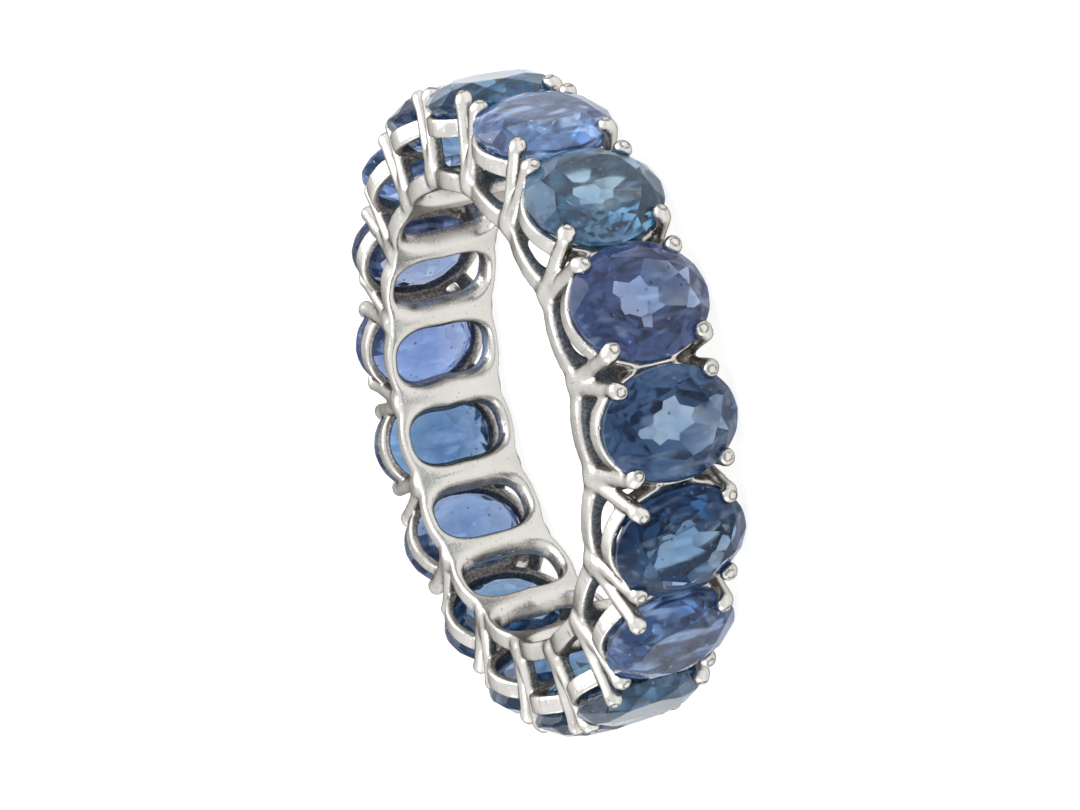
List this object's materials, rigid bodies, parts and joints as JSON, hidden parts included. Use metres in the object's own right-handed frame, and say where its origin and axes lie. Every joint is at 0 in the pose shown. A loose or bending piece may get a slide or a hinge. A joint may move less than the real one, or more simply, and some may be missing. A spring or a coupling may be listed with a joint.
{
  "type": "eternity ring",
  "caption": "Finger ring set all round with oval blue faceted stones, each over a window in a claw-set white gold band; it lies on its side.",
  "frame": {"origin": "on the surface under the ring, straight below the middle of the finger hole, as the ring lies on its side", "axes": "+Z along the finger axis, up from the surface; +X out through the middle of stone 01"},
  "size_m": [0.0239, 0.024, 0.005],
  "materials": {
    "white_gold": "polished",
    "sapphire_deep": "polished",
    "sapphire_steel": "polished",
    "sapphire_teal": "polished",
    "sapphire_violet": "polished"
  },
  "bodies": {
    "root": {"setting": "white_gold", "stone_01": "sapphire_deep", "stone_02": "sapphire_violet", "stone_03": "sapphire_teal", "stone_04": "sapphire_steel", "stone_05": "sapphire_teal", "stone_06": "sapphire_deep", "stone_07": "sapphire_teal", "stone_08": "sapphire_steel", "stone_09": "sapphire_violet", "stone_10": "sapphire_steel", "stone_11": "sapphire_steel", "stone_12": "sapphire_deep", "stone_13": "sapphire_deep", "stone_14": "sapphire_teal", "stone_15": "sapphire_teal", "stone_16": "sapphire_steel", "stone_17": "sapphire_deep"}
  },
  "joints": []
}
